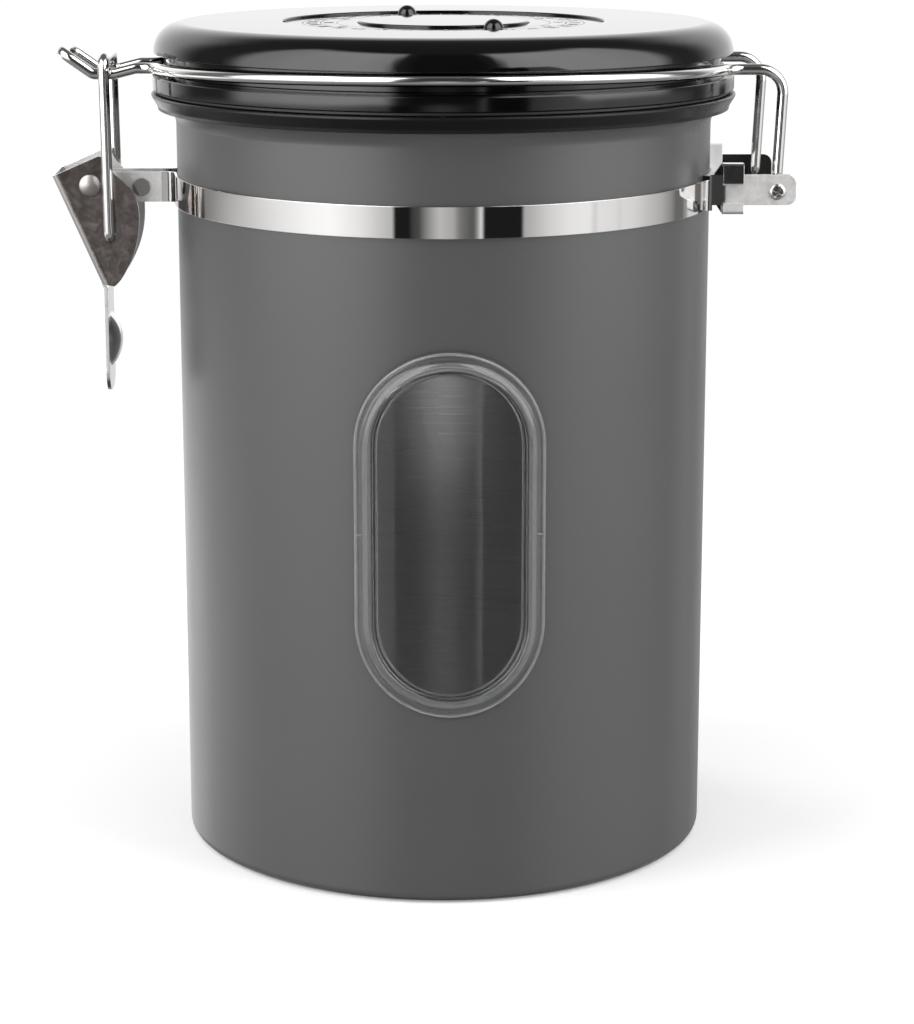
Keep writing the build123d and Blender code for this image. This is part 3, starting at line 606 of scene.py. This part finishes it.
def make_floor():
    bm = bmesh.new()
    rings = [0.0, 0.1, 0.2, 0.3, 0.45, 0.7, 1.2, 2.5, 6.0]
    seg = 64
    rows = []
    centre = bm.verts.new((0, 0, -0.0002))
    for r in rings[1:]:
        rows.append([bm.verts.new((r * math.cos(2 * PI * i / seg), r * math.sin(2 * PI * i / seg), -0.0002))
                     for i in range(seg)])
    for i in range(seg):
        j = (i + 1) % seg
        bm.faces.new((centre, rows[0][i], rows[0][j]))
        for a, b in zip(rows, rows[1:]):
            bm.faces.new((a[i], b[i], b[j], a[j]))
    o = mesh_object("floor", bm)
    m = bpy.data.materials.new("floor_pale")
    m.use_nodes = True
    nt = m.node_tree
    nt.nodes.clear()
    out = nt.nodes.new("ShaderNodeOutputMaterial")
    tc = nt.nodes.new("ShaderNodeTexCoord")
    ln = nt.nodes.new("ShaderNodeVectorMath")
    ln.operation = "LENGTH"
    nt.links.new(tc.outputs["Object"], ln.inputs[0])
    far = nt.nodes.new("ShaderNodeMapRange")
    far.interpolation_type = "SMOOTHSTEP"
    far.inputs["From Min"].default_value = 0.14
    far.inputs["From Max"].default_value = 0.55
    nt.links.new(ln.outputs["Value"], far.inputs["Value"])
    dif = nt.nodes.new("ShaderNodeBsdfDiffuse")
    dif.inputs["Color"].default_value = (0.86, 0.86, 0.86, 1)
    em = nt.nodes.new("ShaderNodeEmission")
    em.inputs["Strength"].default_value = 1.02
    glow = nt.nodes.new("ShaderNodeEmission")
    glow.inputs["Strength"].default_value = 0.26
    add = nt.nodes.new("ShaderNodeAddShader")
    mix = nt.nodes.new("ShaderNodeMixShader")
    nt.links.new(dif.outputs[0], add.inputs[0])
    nt.links.new(glow.outputs[0], add.inputs[1])
    nt.links.new(far.outputs[0], mix.inputs[0])
    nt.links.new(add.outputs[0], mix.inputs[1])
    nt.links.new(em.outputs[0], mix.inputs[2])
    nt.links.new(mix.outputs[0], out.inputs["Surface"])
    o.data.materials.append(m)
    o.visible_glossy = False
    return o


make_floor()


# ---------------------------------------------------------------- soft studio light
def make_dome():
    """Light cards and soft boxes seen only in reflections.  Azimuth 0 is in front of the window, + to the right."""
    bm = bmesh.new()
    bmesh.ops.create_uvsphere(bm, u_segments=64, v_segments=32, radius=4.0)
    bmesh.ops.reverse_faces(bm, faces=bm.faces)
    o = mesh_object("reflection_dome", bm)
    o.location = (0, 0, 0.15)
    m = bpy.data.materials.new("reflection_dome")
    m.use_nodes = True
    nt = m.node_tree
    nt.nodes.clear()
    new, link = nt.nodes.new, nt.links.new

    def mth(op, a, b=None):
        n = new("ShaderNodeMath")
        n.operation = op
        for i, v in enumerate((a, b)):
            if isinstance(v, bpy.types.NodeSocket):
                link(v, n.inputs[i])
            elif v is not None:
                n.inputs[i].default_value = v
        return n.outputs[0]

    tc = new("ShaderNodeTexCoord")
    nrm = new("ShaderNodeVectorMath")
    nrm.operation = "NORMALIZE"
    link(tc.outputs["Object"], nrm.inputs[0])
    sep = new("ShaderNodeSeparateXYZ")
    link(nrm.outputs[0], sep.inputs[0])
    az = mth("ARCTAN2", sep.outputs[0], mth("MULTIPLY", sep.outputs[1], -1.0))
    azf = mth("ADD", mth("MULTIPLY", az, 1 / (2 * PI)), 0.5)
    el = mth("MULTIPLY", mth("ARCSINE", sep.outputs[2]), 180 / PI)

    def ramp(stops, fac=azf, interp="LINEAR", lo=-180.0, hi=180.0):
        n = new("ShaderNodeValToRGB")
        n.color_ramp.interpolation = interp
        e = n.color_ramp.elements
        while len(e) > 1:
            e.remove(e[-1])
        for i, (a, v) in enumerate(stops):
            p = (a - lo) / (hi - lo)
            s = e[0] if i == 0 else e.new(p)
            s.position = p
            s.color = (v, v, v, 1)
        link(fac, n.inputs[0])
        return n.outputs[0]

    def step(v, a, b):
        n = new("ShaderNodeMapRange")
        n.interpolation_type = "SMOOTHSTEP"
        link(v, n.inputs["Value"])
        n.inputs["From Min"].default_value = a
        n.inputs["From Max"].default_value = b
        return n.outputs[0]

    def lerp(f, a, b):
        n = new("ShaderNodeMix")
        n.data_type = "FLOAT"
        link(f, n.inputs[0])
        for s, v in ((n.inputs[2], a), (n.inputs[3], b)):
            if isinstance(v, bpy.types.NodeSocket):
                link(v, s)
            else:
                s.default_value = v
        return n.outputs[0]

    # table level, radiance / 1.6: the bright table with dark cards standing on it
    azd = mth("MULTIPLY", az, 180 / PI)
    left = ramp([(-180, .50), (-156, .40), (-150.5, .37), (-149.5, .06), (-145.8, .06), (-145.2, .12), (-142.2, .12),
                 (-141.5, .77), (-134.4, .82), (-133.8, .25), (-129.6, .22), (-129, .13), (-125.4, .13), (-125, .03),
                 (-121.6, .03), (-121.2, .17), (-115, .24), (-103, .39), (-87, .56), (-74, .73), (-58, .89), (-49, .92),
                 (-44, .86), (-36, .74), (-28, .55)])
    mid = ramp([(-32, .62), (-28, .55), (-24, .46), (-21.6, .45), (-21.1, .01), (-14.4, .01), (-14, .045), (-11.2, .06),
                (-7, .27), (-3, .45), (1.4, .38), (3.6, .34), (4.6, .18), (10, .09), (12.5, .10), (13, .64), (15, .66),
                (15.4, .01), (32, .01)])
    right = ramp([(29, .01), (31.6, .01), (32, .37), (35, .41), (43, .59), (52, .73), (60, .76), (63, .75), (63.4, .60),
                  (65, .60), (65.4, .71), (73, .68), (75.8, .66), (76.2, .60), (77.6, .60), (78, .66), (85, .62),
                  (93, .50), (102, .39), (110, .23), (113.5, .12), (119.5, .13), (120, .24), (123.5, .26), (124, .56),
                  (135.8, .54), (136.3, .03), (144, .03), (144.8, .36), (152, .42), (180, .50)])
    low = lerp(mth("GREATER_THAN", azd, -30.0), left, mid)
    low = lerp(mth("GREATER_THAN", azd, 30.0), low, right)
    low = mth("MULTIPLY", low, 1.6)
    # below the cards, on the left: more of the table
    beside = mth("MULTIPLY", mth("SUBTRACT", 1.0, step(el, -12.0, -9.0)), mth("SUBTRACT", 1.0, step(azd, -112.0, -86.0)))
    low = mth("ADD", low, mth("MULTIPLY", beside, 1.2))
    # above the table, radiance / 5: two tall soft boxes, dark front and sides
    high = ramp([(-180, .02), (-122, .03), (-96, .04), (-92, .10), (-84, .58), (-62, .84), (-36, .92),
                 (-24, .80), (-19, .04), (-12, .01), (14, .01), (20, .04), (25, .80), (40, .92), (66, .84), (90, .60),
                 (98, .08), (104, .04), (124, .03), (180, .02)])
    high = mth("MULTIPLY", high, 5.0)
    # ceiling: dark
    high = lerp(step(el, 55.0, 66.0), high, 0.15)
    # behind: white backdrop that ends at about 40 degrees
    back = lerp(step(el, 28.0, 52.0), 1.25, 0.15)
    high = lerp(step(mth("ABSOLUTE", azd), 112.0, 138.0), high, back)
    # the soft boxes end a little higher towards the right
    el_edge = mth("SUBTRACT", el, mth("MULTIPLY", step(azd, -50.0, -24.0), 1.3))
    el_edge = mth("SUBTRACT", el_edge, mth("MULTIPLY", step(azd, 4.0, 16.0), 2.0))
    bow = mth("MULTIPLY", step(azd, 10.0, 20.0), mth("SUBTRACT", 1.0, step(azd, 38.0, 56.0)))
    el_edge = mth("SUBTRACT", el_edge, mth("MULTIPLY", bow, 14.0))
    lum = lerp(step(el_edge, -8.2, -4.8), low, high)
    # further down: the table close by, then shade straight under the object
    lum = lerp(step(el, -30.0, -17.0), 0.32, lum)
    lum = lerp(step(el, -68.0, -52.0), 0.07, lum)
    em = new("ShaderNodeEmission")
    link(lum, em.inputs["Strength"])
    out = new("ShaderNodeOutputMaterial")
    link(em.outputs[0], out.inputs["Surface"])
    m.cycles.emission_sampling = "NONE"
    o.data.materials.append(m)
    o.visible_camera = False
    o.visible_diffuse = False
    o.visible_shadow = False
    o.visible_volume_scatter = False
    o.visible_transmission = True
    return o


make_dome()

world = bpy.data.worlds.new("studio")
scene.world = world
world.use_nodes = True
nt = world.node_tree
nt.nodes.clear()
w_out = nt.nodes.new("ShaderNodeOutputWorld")
w_bg = nt.nodes.new("ShaderNodeBackground")
w_cam = nt.nodes.new("ShaderNodeBackground")
w_lp = nt.nodes.new("ShaderNodeLightPath")
w_mix = nt.nodes.new("ShaderNodeMixShader")
w_bg.inputs["Strength"].default_value = 0.36
w_cam.inputs["Strength"].default_value = 1.02
w_cam.inputs["Color"].default_value = (1, 1, 1, 1)
w_bg.inputs["Color"].default_value = (1, 1, 1, 1)
nt.links.new(w_lp.outputs["Is Camera Ray"], w_mix.inputs[0])
nt.links.new(w_bg.outputs[0], w_mix.inputs[1])
nt.links.new(w_cam.outputs[0], w_mix.inputs[2])
nt.links.new(w_mix.outputs[0], w_out.inputs["Surface"])
world.cycles_visibility.glossy = False
world.cycles_visibility.transmission = False


def area(name, az, el, dist, w, h, power, target=(0, 0, 0.09)):
    """Area light at azimuth az (0 in front, + right), elevation el, aimed at the object."""
    li = bpy.data.lights.new(name, "AREA")
    li.shape = "RECTANGLE"
    li.size, li.size_y = w, h
    li.energy = power
    o = bpy.data.objects.new(name, li)
    a, e = math.radians(az), math.radians(el)
    t = Vector(target)
    o.location = t + Vector((math.sin(a) * math.cos(e), -math.cos(a) * math.cos(e), math.sin(e))) * dist
    d = t - Vector(o.location)
    o.rotation_euler = d.to_track_quat("-Z", "Y").to_euler()
    o.visible_glossy = False
    o.visible_transmission = False
    scene.collection.objects.link(o)
    return o


area("softbox_left", -67, 24, 1.3, 0.8, 1.1, 9.6)
area("softbox_right", 66, 26, 1.3, 0.8, 1.1, 9.0)
area("rim_left", -130, 12, 1.4, 0.6, 1.0, 7.0)
area("softbox_top", 0, 86, 1.5, 1.4, 1.4, 9.0)

# ---------------------------------------------------------------- camera
cam = bpy.data.cameras.new("camera")
cam.lens = 101.185
cam.sensor_width = 36.0
cam.sensor_fit = "AUTO"
cam.clip_start = 0.01
cam.clip_end = 50.0
cam_o = bpy.data.objects.new("camera", cam)
cam_o.location = (-0.01386877, -0.64072406, 0.22348359)
cam_o.rotation_euler = (math.radians(90 - 13.2693), 0.0, math.radians(-1.50713))
scene.collection.objects.link(cam_o)
scene.camera = cam_o
scene.view_settings.view_transform = "Standard"
scene.view_settings.look = "None"
